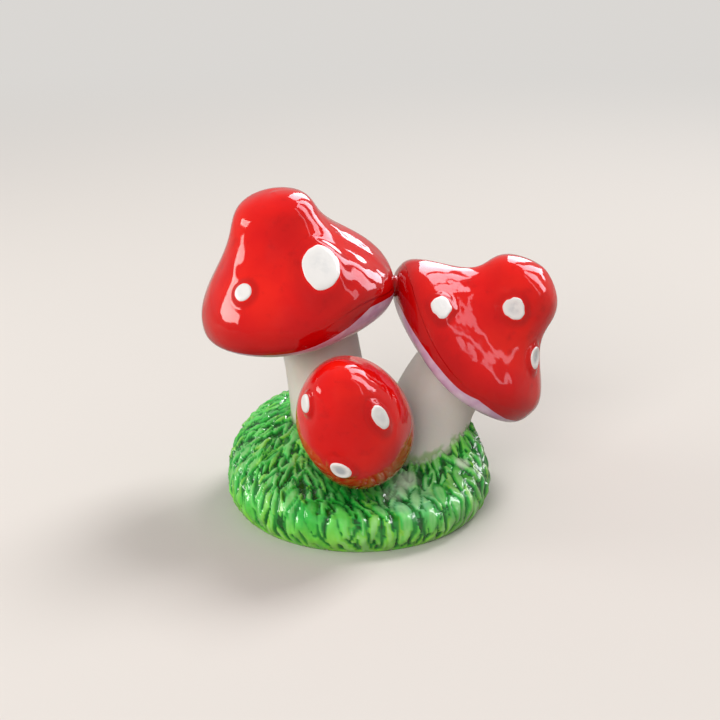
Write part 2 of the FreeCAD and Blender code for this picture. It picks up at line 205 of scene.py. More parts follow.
def spot_reach(cap, spot, down, turn):
    """How far points lie from a spot's middle, 1 at its outline."""
    middle_down, middle_turn, half_length, half_width, twist, shares = spot[:6]
    down_rate, turn_rate = spot_rates(cap, middle_down, middle_turn)
    radius = CAP_SIZES[cap]["radius"]
    up = (down - middle_down) * down_rate
    over = ((turn - middle_turn + 180.0) % 360.0 - 180.0) * turn_rate
    turned = math.radians(twist)
    along = (over * math.cos(turned) + up * math.sin(turned)) / (half_length * radius)
    aside = (-over * math.sin(turned) + up * math.cos(turned)) / (half_width * radius)
    return np.hypot(along, aside) / outline_share(shares, np.arctan2(aside, along))


def smooth_step(value):
    value = np.clip(value, 0.0, 1.0)
    return value * value * (3.0 - 2.0 * value)


def nub_rise(reach):
    """Height of a moulded nub and the shallow moat round it."""
    slope = smooth_step(1.0 - (reach - 1.0) / NUB_SLOPE_SHARE)
    moat = np.exp(-(((reach - 1.0 - NUB_SLOPE_SHARE) / MOAT_WIDTH_SHARE) ** 2))
    return NUB_HEIGHT * slope - MOAT_DEPTH * moat


def quad_ball(name, cuts):
    """A ball of even square faces: a cube, subdivided and made round."""
    bpy.ops.object.select_all(action="DESELECT")
    bpy.ops.mesh.primitive_cube_add(size=2.0)
    ball = bpy.context.object
    ball.name = name
    bpy.ops.object.mode_set(mode="EDIT")
    bpy.ops.mesh.select_all(action="SELECT")
    bpy.ops.mesh.subdivide(number_cuts=cuts)
    bpy.ops.transform.tosphere(value=1.0)
    bpy.ops.object.mode_set(mode="OBJECT")
    points = read_points(ball)
    write_points(ball, points / np.linalg.norm(points, axis=1)[:, None])
    bpy.ops.object.shade_smooth()
    return ball


def read_points(piece):
    points = np.empty(len(piece.data.vertices) * 3)
    piece.data.vertices.foreach_get("co", points)
    return points.reshape(-1, 3)


def write_points(piece, points):
    piece.data.vertices.foreach_set("co", np.ascontiguousarray(points, dtype=np.float32).ravel())
    piece.data.update()


def vertex_normals(piece):
    normals = np.empty(len(piece.data.vertices) * 3, dtype=np.float32)
    piece.data.vertex_normals.foreach_get("vector", normals)
    return normals.reshape(-1, 3).astype(float)


def write_attribute(piece, name, values):
    attribute = piece.data.attributes.new(name, "FLOAT", "POINT")
    attribute.data.foreach_set("value", np.ascontiguousarray(values, dtype=np.float32))


def waver(angle, seed):
    """A slow hand-painted wobble round a brim, between about -1 and 1."""
    turned = np.radians(angle)
    return (0.5 * np.sin(3 * turned + seed) + 0.3 * np.sin(7 * turned + 2.1 * seed)
            + 0.2 * np.sin(13 * turned + 3.7 * seed))


def make_cap(cap, seed):
    """A ball drawn out into a cap, with nubs under its spots and what its glaze needs to know."""
    piece = quad_ball(cap + "_shell", CAP_CUTS)
    ball = read_points(piece)
    down = np.degrees(np.arccos(np.clip(ball[:, 2], -1.0, 1.0)))
    turn = np.degrees(np.arctan2(ball[:, 1], ball[:, 0])) % 360.0
    stretch = 90.0 / (FLAT_FROM_ANGLE - 90.0)
    form_down = np.where(down > 90.0, 90.0 + (down - 90.0) * stretch, down)
    points = cap_form(cap, np.minimum(form_down, 180.0), turn)
    inner = np.clip((180.0 - down) / (180.0 - FLAT_FROM_ANGLE), 0.0, 1.0)
    flat = down > FLAT_FROM_ANGLE
    middle = np.array([CAP_SIZES[cap]["socket_offset"], 0.0])
    points[flat, :2] = middle + (points[flat, :2] - middle) * inner[flat, None]
    write_points(piece, place_on_cap(cap, points))
    normals = vertex_normals(piece)
    rise = np.zeros(len(down))
    nearest = np.full(len(down), FAR_FROM_SPOTS)
    for spot in SPOTS[cap]:
        reach = spot_reach(cap, spot, form_down, turn)
        rise += nub_rise(reach)
        nearest = np.minimum(nearest, reach)
    write_points(piece, read_points(piece) + normals * rise[:, None] * MM)
    line = np.interp(turn, *np.transpose(PAINT_LINES[cap])) + PAINT_WAVER * waver(turn, seed)
    write_attribute(piece, "below_paint", (form_down - line) / 10.0)
    write_attribute(piece, "spot_reach", nearest)
    write_attribute(piece, "down_share", form_down / 180.0)
    off = (turn - WRINKLED_SIDES[cap] + 180.0) % 360.0 - 180.0
    write_attribute(piece, "wrinkles", np.exp(-((off / WRINKLED_WIDTH) ** 2)) * (down < 90.0))
    return piece


def new_material(name):
    material = bpy.data.materials.new(name)
    material.use_nodes = True
    nodes = material.node_tree.nodes
    shader = nodes["Principled BSDF"]
    return material, nodes, material.node_tree.links, shader


def noise_node(nodes, links, source, scale, detail):
    """Noise on the piece's own coordinates, in features per metre."""
    noise = nodes.new("ShaderNodeTexNoise")
    noise.inputs["Scale"].default_value = scale
    noise.inputs["Detail"].default_value = detail
    links.new(source, noise.inputs["Vector"])
    return noise.outputs["Fac"]


def map_range(nodes, links, source, low, high, to_low=0.0, to_high=1.0):
    node = nodes.new("ShaderNodeMapRange")
    node.interpolation_type = "SMOOTHSTEP"
    node.inputs["From Min"].default_value = low
    node.inputs["From Max"].default_value = high
    node.inputs["To Min"].default_value = to_low
    node.inputs["To Max"].default_value = to_high
    links.new(source, node.inputs["Value"])
    return node.outputs["Result"]


def mix_colours(nodes, links, share, first, second):
    """Mixes two colours, each a fixed colour or another node's output."""
    node = nodes.new("ShaderNodeMix")
    node.data_type = "RGBA"
    links.new(share, node.inputs["Factor"])
    for socket, colour in (("A", first), ("B", second)):
        target = [s for s in node.inputs if s.name == socket and s.type == "RGBA"][0]
        if isinstance(colour, tuple):
            target.default_value = (*colour, 1.0)
        else:
            links.new(colour, target)
    return [s for s in node.outputs if s.type == "RGBA"][0]


def times(nodes, links, first, second):
    """The product of two nodes' outputs."""
    node = nodes.new("ShaderNodeMath")
    node.operation = "MULTIPLY"
    links.new(first, node.inputs[0])
    links.new(second, node.inputs[1])
    return node.outputs[0]


def bump_node(nodes, links, height, distance, before=None):
    """A bump of a depth in metres, on top of the one before it."""
    node = nodes.new("ShaderNodeBump")
    node.inputs["Distance"].default_value = distance
    links.new(height, node.inputs["Height"])
    if before is not None:
        links.new(before, node.inputs["Normal"])
    return node.outputs["Normal"]


def attribute_node(nodes, name):
    node = nodes.new("ShaderNodeAttribute")
    node.attribute_name = name
    return node.outputs["Fac"]


CAP_RED = (0.74, 0.002, 0.002)
CAP_DEEP_RED = (0.40, 0.0, 0.001)
CAP_ORANGE_RED = (0.86, 0.010, 0.003)
# The underside's lilac pinks are painted shade with bounced red light
BRIM_SHADED_LILAC = (0.60, 0.36, 0.55)
BRIM_PALE_SHADED_LILAC = (0.72, 0.55, 0.68)
SWELL_DEPTH = 0.0010
WRINKLE_DEPTH = 0.0005


def cap_glaze():
    material, nodes, links, shader = new_material("red_cap_glaze")
    coordinates = nodes.new("ShaderNodeTexCoord").outputs["Object"]
    cloud = noise_node(nodes, links, coordinates, 55.0, 4.0)
    fine = noise_node(nodes, links, coordinates, 260.0, 3.0)
    clouded = map_range(nodes, links, cloud, 0.35, 0.7)
    red = mix_colours(nodes, links, clouded, CAP_RED, CAP_ORANGE_RED)
    flecked = map_range(nodes, links, fine, 0.55, 0.8, 0.0, 0.35)
    red = mix_colours(nodes, links, flecked, red, CAP_DEEP_RED)
    reach = attribute_node(nodes, "spot_reach")
    ring = times(nodes, links, map_range(nodes, links, reach, 1.0, 1.2),
                 map_range(nodes, links, reach, 1.3, 2.1, 0.4, 0.0))
    red = mix_colours(nodes, links, ring, red, CAP_DEEP_RED)
    # Painted shade: the red darkens down the lower sides towards the brim, where less light falls
    painted_lower_shade = map_range(nodes, links, attribute_node(nodes, "down_share"), 0.36, 0.58, 0.0, 0.9)
    red = mix_colours(nodes, links, painted_lower_shade, red, CAP_DEEP_RED)
    # Painted shade and bounced red light under the brim, below the paint line
    shaded_lilac = mix_colours(nodes, links, map_range(nodes, links, fine, 0.3, 0.75), BRIM_SHADED_LILAC,
                        BRIM_PALE_SHADED_LILAC)
    below = attribute_node(nodes, "below_paint")
    line = map_range(nodes, links, below, -0.03, 0.03)
    links.new(mix_colours(nodes, links, line, red, shaded_lilac), shader.inputs["Base Color"])
    links.new(map_range(nodes, links, fine, 0.3, 0.8, 0.05, 0.09), shader.inputs["Roughness"])
    shader.inputs["IOR"].default_value = 1.42
    swell = noise_node(nodes, links, coordinates, 85.0, 1.0)
    ripple = noise_node(nodes, links, coordinates, 140.0, 1.5)
    where = map_range(nodes, links, attribute_node(nodes, "wrinkles"), 0.0, 1.0, 0.15, 1.0)
    wrinkled = times(nodes, links, ripple, where)
    normal = bump_node(nodes, links, swell, SWELL_DEPTH)
    normal = bump_node(nodes, links, wrinkled, WRINKLE_DEPTH, before=normal)
    links.new(normal, shader.inputs["Normal"])
    return material


red_glaze = cap_glaze()
for number, cap in enumerate(("tall_cap", "leaning_cap", "front_cap")):
    shell = make_cap(cap, PAINT_SEED_STEP * number + PAINT_SEED_START)
    shell.data.materials.append(red_glaze)
    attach(shell, "root")
    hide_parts(cap)

# Spots
# Thick dabs of white enamel put on the nubs with a loaded brush before the glaze firing. They
# stand up from the red with a rounded edge and some are dished where the brush was lifted.
SPOT_THICKNESS = 0.6
SPOT_SINK = 0.2
SPOT_WHITE = (0.88, 0.88, 0.87)
# Painted shade: a blue grey laid in the dished middles of the dabs
SPOT_PAINTED_SHADE = (0.50, 0.54, 0.58)
SPOT_DISH_SHARE = 0.75
SPOT_EDGE_POWER = 5
SLOPE_STEP = 0.5


def make_spot(cap, spot, name):
    """A ball pressed flat into a dab, laid over its nub."""
    bpy.ops.object.select_all(action="DESELECT")
    bpy.ops.mesh.primitive_uv_sphere_add(segments=56, ring_count=36, radius=1.0)
    piece = bpy.context.object
    piece.name = name
    ball = read_points(piece)
    angle = np.arctan2(ball[:, 1], ball[:, 0])
    upper = ball[:, 2] >= 0.0
    polar = np.arccos(np.clip(np.abs(ball[:, 2]), 0.0, 1.0)) / (0.5 * math.pi)
    reach = np.sin(polar * 0.5 * math.pi)
    middle_down, middle_turn, half_length, half_width, twist, shares, dished = spot
    edge = np.sqrt(np.maximum(1.0 - reach ** SPOT_EDGE_POWER, 0.0))
    dish = 1.0 - SPOT_DISH_SHARE * dished * smooth_step((1.0 - reach) / 0.6)
    lift = np.where(upper, NUB_HEIGHT + SPOT_THICKNESS * edge * dish, NUB_HEIGHT - SPOT_SINK)
    down_rate, turn_rate = spot_rates(cap, middle_down, middle_turn)
    radius = CAP_SIZES[cap]["radius"]
    along = reach * outline_share(shares, angle) * half_length * radius * np.cos(angle)
    aside = reach * outline_share(shares, angle) * half_width * radius * np.sin(angle)
    turned = math.radians(twist)
    over = along * math.cos(turned) - aside * math.sin(turned)
    up = along * math.sin(turned) + aside * math.cos(turned)
    down = middle_down + up / down_rate
    turn = middle_turn + over / turn_rate
    points = cap_form(cap, down, turn)
    slope_down = cap_form(cap, down + SLOPE_STEP, turn) - cap_form(cap, down - SLOPE_STEP, turn)
    slope_turn = cap_form(cap, down, turn + SLOPE_STEP) - cap_form(cap, down, turn - SLOPE_STEP)
    normals = np.cross(slope_down, slope_turn)
    normals /= np.linalg.norm(normals, axis=1)[:, None]
    write_points(piece, place_on_cap(cap, points + normals * lift[:, None]))
    # How strongly the dish's painted shade greys each point
    write_attribute(piece, "dished", dished * smooth_step((0.75 - reach) / 0.5))
    bpy.ops.object.shade_smooth()
    return piece


def join_pieces(pieces, name):
    bpy.ops.object.select_all(action="DESELECT")
    for piece in pieces:
        piece.select_set(True)
    bpy.context.view_layer.objects.active = pieces[0]
    bpy.ops.object.join()
    joined = bpy.context.object
    joined.name = name
    return joined


def spot_glaze():
    material, nodes, links, shader = new_material("white_spot_glaze")
    coordinates = nodes.new("ShaderNodeTexCoord").outputs["Object"]
    cloud = noise_node(nodes, links, coordinates, 300.0, 3.0)
    # Painted shade in the dished middles, broken up by the cloud
    shade = times(nodes, links, attribute_node(nodes, "dished"),
                  map_range(nodes, links, cloud, 0.35, 0.65))
    links.new(mix_colours(nodes, links, shade, SPOT_WHITE, SPOT_PAINTED_SHADE),
              shader.inputs["Base Color"])
    shader.inputs["Roughness"].default_value = 0.16
    shader.inputs["IOR"].default_value = 1.5
    links.new(bump_node(nodes, links, cloud, 0.0002), shader.inputs["Normal"])
    return material


white_glaze = spot_glaze()
for cap, spots in SPOTS.items():
    dabs = [make_spot(cap, spot, f"{cap}_spot_{number}") for number, spot in enumerate(spots)]
    dabs = join_pieces(dabs, cap + "_spots")
    dabs.data.materials.append(white_glaze)
    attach(dabs, "root")
    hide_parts(cap + "_dabs")

# Stalks
# Hollow cast tubes that flare to the foot, coped to the mound and stuck into the caps' sockets
# with slip. They are left white under a satin glaze, with some green run in at the foot.
STALKS = {
    "tall": {"foot": (-7.2, 5.5, 9.0), "foot_run": 12.0, "foot_radius": 14.6,
             "top_radius": 11.8, "top_run": 20.0},
    "leaning": {"foot": (18.8, 2.0, 7.0), "foot_run": 12.0, "foot_radius": 15.5,
                "top_radius": 12.6, "top_run": 14.0},
    "front": {"foot": (3.5, -7.0, 7.0), "foot_run": 5.0, "foot_radius": 9.0,
              "top_radius": 7.5, "top_run": 6.0},
}
STALK_SINK = 1.0
STALK_RINGS = 60
STALK_SIDES = 96


def stalk_line(which, share):
    """Middle points, directions and radii at shares of a stalk's height, in millimetres."""
    stalk = STALKS[which]
    cap = which + "_cap"
    right, back = [math.radians(angle) for angle in CAP_TILTS[cap]]
    up = np.array([math.sin(right) * math.cos(back), math.sin(back),
                   math.cos(right) * math.cos(back)])
    form = CAP_SIZES[cap]
    socket = np.array([[form["socket_offset"], 0.0, STALK_SINK - form["underside"]]])
    top = place_on_cap(cap, socket)[0] / MM
    foot = np.array(stalk["foot"])
    ankle = foot + np.array([0.0, 0.0, stalk["foot_run"]])
    knee = top - up * stalk["top_run"]
    share = np.asarray(share, dtype=float)[:, None]
    rest = 1.0 - share
    centre = (foot * rest ** 3 + ankle * 3 * share * rest ** 2 + knee * 3 * share ** 2 * rest
              + top * share ** 3)
    along = ((ankle - foot) * rest ** 2 + (knee - ankle) * 2 * share * rest
             + (top - knee) * share ** 2)
    along /= np.linalg.norm(along, axis=1)[:, None]
    radius = stalk["top_radius"] + (stalk["foot_radius"] - stalk["top_radius"]) * rest ** 3
    return centre, along, radius


def make_stalk(which):
    """A circle drawn up into a tube with closed ends, then bent and flared."""
    bpy.ops.object.select_all(action="DESELECT")
    bpy.ops.mesh.primitive_circle_add(vertices=STALK_SIDES, radius=1.0, fill_type="TRIFAN")
    piece = bpy.context.object
    piece.name = which + "_stalk_tube"
    bpy.ops.object.mode_set(mode="EDIT")
    bpy.ops.mesh.select_all(action="SELECT")
    for _ in range(STALK_RINGS):
        bpy.ops.mesh.extrude_region_move(TRANSFORM_OT_translate={"value": (0.0, 0.0, 1.0)})
    bpy.ops.mesh.select_all(action="SELECT")
    bpy.ops.mesh.normals_make_consistent(inside=False)
    bpy.ops.object.mode_set(mode="OBJECT")
    start = read_points(piece)
    height = start[:, 2] / STALK_RINGS
    centre, along, radius = stalk_line(which, height)
    side = np.cross(np.array([0.0, 1.0, 0.0]), along)
    side /= np.linalg.norm(side, axis=1)[:, None]
    ahead = np.cross(along, side)
    angle = np.arctan2(start[:, 1], start[:, 0])
    uneven = (0.12 * np.sin(2.0 * angle + 5.0 * height)
              + 0.08 * np.sin(3.0 * angle - 8.0 * height + 1.0))
    out = side * start[:, :1] + ahead * start[:, 1:2]
    write_points(piece, (centre + out * (radius + uneven[:, None])) * MM)
    bpy.ops.object.shade_smooth()
    return piece


STALK_WHITE = (0.74, 0.71, 0.655)
STALK_CREAM = (0.66, 0.62, 0.55)
STALK_GREEN = (0.22, 0.44, 0.10)


def stalk_glaze():
    material, nodes, links, shader = new_material("white_stalk_glaze")
    coordinates = nodes.new("ShaderNodeTexCoord").outputs["Object"]
    cloud = noise_node(nodes, links, coordinates, 60.0, 3.0)
    fine = noise_node(nodes, links, coordinates, 240.0, 3.0)
    white = mix_colours(nodes, links, map_range(nodes, links, cloud, 0.35, 0.7), STALK_WHITE,
                        STALK_CREAM)
    above = attribute_node(nodes, "above_grass")
    ragged = nodes.new("ShaderNodeMath")
    ragged.operation = "MULTIPLY_ADD"
    ragged.inputs[1].default_value = -3.0
    links.new(fine, ragged.inputs[0])
    links.new(above, ragged.inputs[2])
    green = map_range(nodes, links, ragged.outputs[0], -1.2, 0.9, 0.7, 0.0)
    links.new(mix_colours(nodes, links, green, white, STALK_GREEN), shader.inputs["Base Color"])
    shader.inputs["Roughness"].default_value = 0.38
    shader.inputs["IOR"].default_value = 1.45
    shader.inputs["Coat Weight"].default_value = 0.15
    shader.inputs["Coat Roughness"].default_value = 0.25
    shader.inputs["Subsurface Weight"].default_value = 0.15
    shader.inputs["Subsurface Scale"].default_value = 0.002
    links.new(bump_node(nodes, links, fine, 0.00012), shader.inputs["Normal"])
    return material


satin_glaze = stalk_glaze()
tubes = {}
for which in STALKS:
    tubes[which] = make_stalk(which)
    tubes[which].data.materials.append(satin_glaze)
    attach(tubes[which], "root")
    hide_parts(which + "_stalk")

# Grass mound
# A hollow cast dome on a foot ring, higher at the back, its grass gouged into the model it was
# cast from. Green underglaze is brushed on, runs yellow at the foot and lies dark in the gouges.
MOUND_HALF_WIDTH = 40.0
MOUND_HALF_DEPTH = 40.0
MOUND_HEIGHT = 27.2
MOUND_GIRTH_HEIGHT = 6.7
MOUND_FOOT_TUCK = 3.1
MOUND_CREST_LEFT = 3.6
MOUND_CREST_BACK = 16.5
MOUND_SQUARENESS = 2.58
MOUND_RIGHT_BANK = (4.6, 0.0, 45.0)
MOUND_FRONT_DIP = (10.2, -70.0, 50.0)
TUFT_RELIEF = 0.45
TUFT_COUNT = 36
TUFT_ROW_ANGLE = 10.0
MOUND_CUTS = 155
WALL_ANGLE = 104.5
BLADE_HEIGHT = 1.0
CREST_SHARE = 0.82
# How much higher the blades climb beside a stalk, and how near to it
CLIMB_HEIGHT = 0.6
CLIMB_WIDTH = 2.0
COLLAR_WIDTH = 0.8
# Length and width of a stroke of grass, with what is added low in front and on the right
STROKE_LENGTH, FRONT_EXTRA_LENGTH, RIGHT_EXTRA_LENGTH = 6.0, 3.6, 2.6
STROKE_WIDTH, FRONT_EXTRA_WIDTH, RIGHT_EXTRA_WIDTH = 1.5, 0.9, 0.2
# How far apart strokes stay along and aside, as shares of their size, then their scales
BLADE_SPREAD = (0.6, 0.9, 1.15, 1.1)
GOUGE_SPREAD = (0.72, 2.3, 1.0, 0.72)
STROKE_TRIES = 30000
GRASS_SEED = 11
# Where the glaze changes or light is painted: middle and radius of each blotch, in millimetres
MINT_BLOTCHES = [((14.0, -27.0, 12.0), 13.0)]
# White glaze puddles at the leaning stalk's foot; the third, small one is a painted highlight
PUDDLE_AND_HIGHLIGHT_BLOTCHES = [((13.5, -17.0, 13.5), 5.5), ((10.5, -22.0, 12.0), 5.0),
                   ((31.0, -12.0, 16.8), 3.2)]
# Painted shade: a dark olive hollow beside the front cap's left side
OLIVE_SHADE_BLOTCHES = [((-14.0, -17.0, 17.0), 10.0)]
# Painted shadow on the grass under the front cap
UNDER_CAP_SHADOW_BLOTCHES = [((-2.0, -19.0, 13.0), 17.0)]
# Leaves that stand out at the front: turn, angle down, length, width, twist and depth of the vein
LEAVES = [
    (264, 79, 13.0, 3.4, 6, 0.2), (290, 75, 17.0, 4.4, -4, 0.3), (299, 62, 13.0, 3.2, 14, 0.2),
    (311, 69, 12.0, 3.4, 0, 0.3), (324, 66, 11.0, 3.0, -12, 0.2), (276, 85, 10.5, 3.2, -12, 0.0),
    (281, 69, 10.0, 3.2, 16, 0.2), (302, 87, 11.0, 3.6, -6, 0.2), (316, 86, 10.0, 3.4, 6, 0.0),
    (250, 82, 11.5, 3.4, 12, 0.2), (240, 72, 11.0, 3.0, -10, 0.0), (332, 80, 10.5, 3.2, 8, 0.2),
]


def mound_form(down, turn):
    """Points of the mound in millimetres; past 90 degrees down lies the wall to the foot."""
    power = 2.0 / MOUND_SQUARENESS
    over = np.minimum(down, 90.0)
    sine = np.sin(np.radians(over)) ** power
    rise_share = np.maximum(np.cos(np.radians(over)), 0.0) ** power
    drop = np.clip((down - 90.0) / (WALL_ANGLE - 90.0), 0.0, 1.0)
    row = over / TUFT_ROW_ANGLE + 2.0 * drop
    tufts = np.cos(np.radians(TUFT_COUNT * turn)) * np.cos(math.pi * row)
    grow = TUFT_RELIEF * tufts * sine ** 2 * (1.0 - drop)
    tuck = MOUND_FOOT_TUCK * drop ** 2
    x = ((MOUND_HALF_WIDTH + grow - tuck) * sine * np.cos(np.radians(turn))
         - MOUND_CREST_LEFT * rise_share ** 2)
    y = ((MOUND_HALF_DEPTH + grow - tuck) * sine * np.sin(np.radians(turn))
         + MOUND_CREST_BACK * rise_share ** 2)
    z = (MOUND_GIRTH_HEIGHT * (1.0 - drop)
         + (MOUND_HEIGHT + grow - MOUND_GIRTH_HEIGHT) * rise_share)
    for (height, middle, width), sign in ((MOUND_RIGHT_BANK, 1.0), (MOUND_FRONT_DIP, -1.0)):
        off = (turn - middle + 180.0) % 360.0 - 180.0
        z = z + sign * height * np.exp(-((off / width) ** 2)) * np.sin(np.radians(2.0 * over)) ** 2
    return np.stack([x, y, z], axis=-1)


def downhill(points, normals):
    """The way each stroke of grass runs: down the slope and a little outwards."""
    fall = np.array([0.0, 0.0, -1.0]) + normals * normals[:, 2:3]
    radial = points - np.array([-MOUND_CREST_LEFT, MOUND_CREST_BACK, 0.0])
    radial[:, 2] = 0.0
    radial -= normals * np.sum(radial * normals, axis=1)[:, None]
    radial /= np.maximum(np.linalg.norm(radial, axis=1), 1e-6)[:, None]
    way = fall + 0.3 * radial
    return way / np.maximum(np.linalg.norm(way, axis=1), 1e-6)[:, None]


def lay_stroke(points, window, place, normal, way, turned, length, width, bend):
    """Where points near a stroke lie: along it from 0 to 1 and across it, 1 at its edge."""
    side = np.cross(normal, way)
    cosine, sine = math.cos(turned), math.sin(turned)
    way, side = way * cosine + side * sine, side * cosine - way * sine
    offset = points[window] - place
    run = offset @ way / length + 0.5
    near = (run > 0.0) & (run < 1.0) & (np.abs(offset @ normal) < 4.0)
    window, run = window[near], run[near]
    aside = offset[near] @ side - bend * length * (run - 0.5) ** 2
    half = 0.5 * width * np.sin(math.pi * run ** 0.8) ** 0.8
    across = np.abs(aside) / np.maximum(half, 0.15)
    near = across < 3.0
    return window[near], run[near], across[near]


def carve_grass(points, normals, keep_out, random):
    """Soft blades of grass laid down the slope, with gouges cut between them: how high each
    point stands, from 0 in a gouge to 1 on a crest, and its blade's tone of green."""
    way = downhill(points, normals)
    by_x = np.argsort(points[:, 0])
    sorted_x = points[by_x, 0]
    blade, tone = np.zeros(len(points)), np.full(len(points), 0.5)

    def stroke_at(index, length, width, turned, bend):
        place = points[index]
        first, last = np.searchsorted(sorted_x, (place[0] - length, place[0] + length))
        window = by_x[first:last]
        window = window[np.abs(points[window, 1] - place[1]) < length]
        return lay_stroke(points, window, place, normals[index], way[index], turned, length, width,
                          bend)

    def lay_blade(index, length, width, turned, bend, base, vein, own_tone):
        chosen, run, across = stroke_at(index, length, width, turned, bend)
        body = (np.clip(1.0 - across ** 2, 0.0, 1.0) ** 0.6 * smooth_step(run / 0.3)
                * smooth_step((1.0 - run) / 0.15))
        crease = vein * np.exp(-((across / 0.18) ** 2)) * np.sin(math.pi * run)
        level = np.where(body > 0.0, base + (1.0 - base) * (body - crease), 0.0)
        higher = level > blade[chosen]
        blade[chosen[higher]] = level[higher]
        tone[chosen[higher]] = own_tone

    def lay_gouge(index, length, width, turned, bend, depth):
        chosen, _, across = stroke_at(index, length, width, turned, bend)
        blade[chosen] *= 1.0 - depth * np.clip(1.0 - across ** 2, 0.0, 1.0) ** 0.7

    def spread_out(along_share, aside_share, length_scale, width_scale):
        """Places for strokes that keep clear of each other, with how long and wide each is."""
        seeds = np.empty((0, 3))
        for index in random.permutation(len(points))[:STROKE_TRIES]:
            place = points[index]
            broad = smooth_step((-place[1] - 4.0) / 18.0) * smooth_step((17.0 - place[2]) / 8.0)
            right = smooth_step((place[0] - 14.0) / 12.0)
            length = (STROKE_LENGTH + FRONT_EXTRA_LENGTH * broad
                      + RIGHT_EXTRA_LENGTH * right * (1.0 - broad)) * length_scale
            width = (STROKE_WIDTH + FRONT_EXTRA_WIDTH * broad
                     + RIGHT_EXTRA_WIDTH * right) * width_scale
            if keep_out[index] > 0.4:
                continue
            offset = seeds - place
            close = np.abs(offset).max(axis=1) < 1.2 * length
            run = offset[close] @ way[index]
            aside = np.linalg.norm(offset[close] - run[:, None] * way[index], axis=1)
            apart = (run / (along_share * length)) ** 2 + (aside / (aside_share * width)) ** 2
            if (apart < 1.0).any():
                continue
            seeds = np.vstack([seeds, place])
            yield index, length * random.uniform(0.7, 1.35), width * random.uniform(0.75, 1.3)

    for index, length, width in spread_out(*BLADE_SPREAD):
        lay_blade(index, length, width, math.radians(random.normal(0.0, 10.0)),
                  random.uniform(-0.3, 0.3), random.uniform(0.35, 0.65), 0.0, random.random())
    for index, length, width in spread_out(*GOUGE_SPREAD):
        lay_gouge(index, length, width, math.radians(random.normal(0.0, 9.0)),
                  random.uniform(-0.35, 0.35), random.uniform(0.65, 1.0))
    for leaf_turn, leaf_down, length, width, twist, vein in LEAVES:
        middle = mound_form(np.array([float(leaf_down)]), np.array([float(leaf_turn)]))[0]
        index = np.argmin(np.linalg.norm(points - middle, axis=1))
        turned, bend = math.radians(twist), 0.1 * math.sin(twist)
        lay_gouge(index, 1.05 * length, 1.5 * width, turned, bend, 0.85)
        lay_blade(index, length, width, turned, bend, 0.5, vein, random.random())
    return blade, tone


def stalk_distance(points):
    """How far points of the mound lie outside the nearest stalk."""
    nearest = np.full(len(points), np.inf)
    for which in STALKS:
        centres, _, radii = stalk_line(which, np.linspace(0.0, 0.8, 25))
        for centre, radius in zip(centres, radii):
            nearest = np.minimum(nearest, np.linalg.norm(points - centre, axis=1) - radius)
    return nearest


def blotch(points, blotches):
    """1 at the middle of the nearest blotch, down to 0 at its edge."""
    shares = [1.0 - np.linalg.norm(points - np.array(place), axis=1) / radius
              for place, radius in blotches]
    return np.clip(np.max(shares, axis=0), 0.0, 1.0)


def make_mound():
    """A ball cut flat below and drawn out into the mound, then carved into grass."""
    piece = quad_ball("grass_mound_skin", MOUND_CUTS)
    bpy.ops.object.mode_set(mode="EDIT")
    bpy.ops.mesh.select_all(action="SELECT")
    floor = math.cos(math.radians(WALL_ANGLE))
    bpy.ops.mesh.bisect(plane_co=(0.0, 0.0, floor), plane_no=(0.0, 0.0, 1.0), clear_inner=True,
                        use_fill=True)
    bpy.ops.object.mode_set(mode="OBJECT")
    ball = read_points(piece)
    ball /= np.linalg.norm(ball, axis=1)[:, None]
    down = np.degrees(np.arccos(np.clip(ball[:, 2], -1.0, 1.0)))
    turn = np.degrees(np.arctan2(ball[:, 1], ball[:, 0])) % 360.0
    points = mound_form(down, turn)
    write_points(piece, points * MM)
    normals = vertex_normals(piece)
    beside = stalk_distance(points)
    collar = smooth_step(1.0 - beside / COLLAR_WIDTH)
    blade, tone = carve_grass(points, normals, collar, np.random.default_rng(GRASS_SEED))
    foot = smooth_step((points[:, 2] - 0.2) / 1.2)
    climb = CLIMB_HEIGHT * blade * np.exp(-((beside / CLIMB_WIDTH) ** 2))
    relief = (BLADE_HEIGHT * (blade - CREST_SHARE) + climb) * foot
    write_points(piece, (points + normals * relief[:, None]) * MM)
    write_attribute(piece, "blade", 1.0 - (1.0 - blade) * foot)
    write_attribute(piece, "tone", tone)
    write_attribute(piece, "above_foot", points[:, 2])
    write_attribute(piece, "beside_stalk", beside)
    write_attribute(piece, "mint", blotch(points, MINT_BLOTCHES))
    write_attribute(piece, "puddle_and_highlight", blotch(points, PUDDLE_AND_HIGHLIGHT_BLOTCHES))
    write_attribute(piece, "shade", blotch(points, OLIVE_SHADE_BLOTCHES))
    write_attribute(piece, "under_cap_shadow", blotch(points, UNDER_CAP_SHADOW_BLOTCHES))
    return piece


GRASS_GREEN = (0.02, 0.52, 0.05)
GRASS_BRIGHT = (0.12, 0.78, 0.12)
GRASS_YELLOW = (0.27, 0.76, 0.05)
GRASS_MINT = (0.26, 0.70, 0.36)
# Pale crests: glaze breaking thin on the ridges, and partly a painted highlight
GRASS_PALE_AND_HIGHLIGHT = (0.40, 0.84, 0.32)
GRASS_DEEP = (0.0, 0.25, 0.02)
GRASS_POOL = (0.0, 0.10, 0.008)
GRASS_OLIVE_SHADE = (0.08, 0.26, 0.015)
PUDDLE_AND_HIGHLIGHT_PALE = (0.64, 0.80, 0.58)


